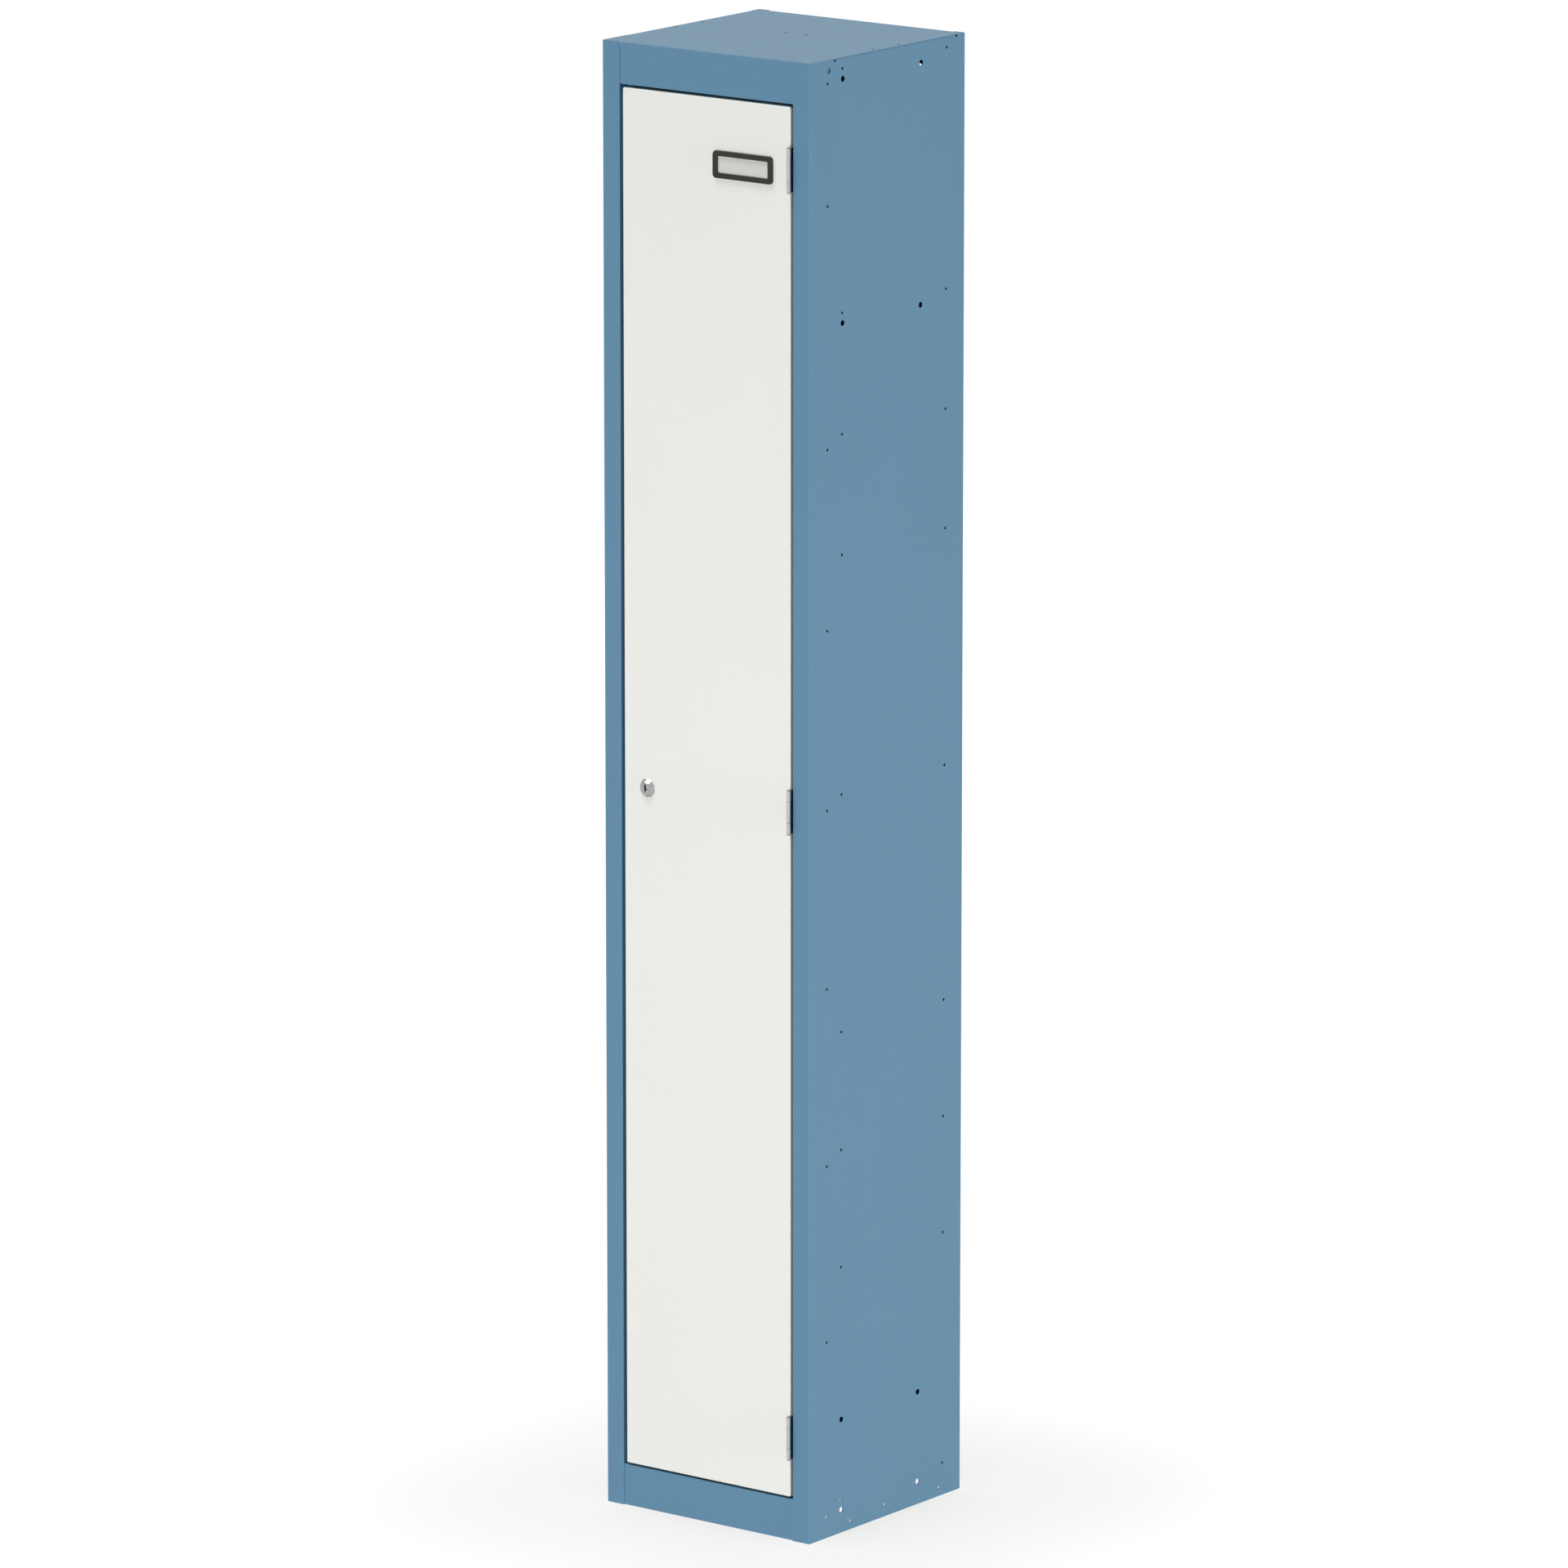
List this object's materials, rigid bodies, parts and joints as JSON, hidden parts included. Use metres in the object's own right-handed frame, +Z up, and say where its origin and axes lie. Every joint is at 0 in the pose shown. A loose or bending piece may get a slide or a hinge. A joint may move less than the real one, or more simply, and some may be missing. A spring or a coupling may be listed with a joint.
{
  "type": "metal locker",
  "caption": "Tall single-door steel locker with a folded sheet body, hat shelf and coat hook, a hinged pan door with a card holder, and a turning cam lock.",
  "frame": {"origin": "centre of the base, at floor level", "axes": "+Z up, -Y towards the front where the door is, +X towards the hinge side"},
  "size_m": [0.305, 0.3088, 1.778],
  "materials": {
    "blue_coat": "satin powder coat",
    "white_coat": "satin powder coat",
    "bright_steel": "bright zinc",
    "lock_chrome": "polished",
    "dark_plastic": "matte",
    "black_rubber": "matte"
  },
  "bodies": {
    "cabinet": {"left_side_panel": "blue_coat", "right_side_panel": "blue_coat", "back_panel": "blue_coat", "top_panel": "blue_coat", "floor_panel": "blue_coat", "hat_shelf": "blue_coat", "coat_hook": "bright_steel", "hook_rivets": "bright_steel", "door_buffers": "black_rubber", "upper_hinge_frame_leaf": "bright_steel", "middle_hinge_frame_leaf": "bright_steel", "lower_hinge_frame_leaf": "bright_steel", "upper_hinge_pin": "bright_steel", "middle_hinge_pin": "bright_steel", "lower_hinge_pin": "bright_steel"},
    "door": {"door_panel": "white_coat", "door_stiffener": "white_coat", "card_holder": "dark_plastic", "lock_body": "lock_chrome", "lock_nut": "bright_steel", "upper_hinge_door_leaf": "bright_steel", "middle_hinge_door_leaf": "bright_steel", "lower_hinge_door_leaf": "bright_steel"},
    "lock": {"lock_plug": "lock_chrome", "lock_cam": "bright_steel", "cam_screw": "bright_steel"}
  },
  "joints": [
    {"name": "door_swing", "type": "hinge", "parent": "cabinet", "child": "door", "pos_m": [0.12485, -0.1552, 0.8892], "axis": [0, 0, 1], "range_deg": [0, 180]},
    {"name": "lock_turn", "type": "hinge", "parent": "door", "child": "lock", "pos_m": [-0.0887, -0.131, 0.8892], "axis": [0, 1, 0], "range_deg": [0, 90]}
  ]
}
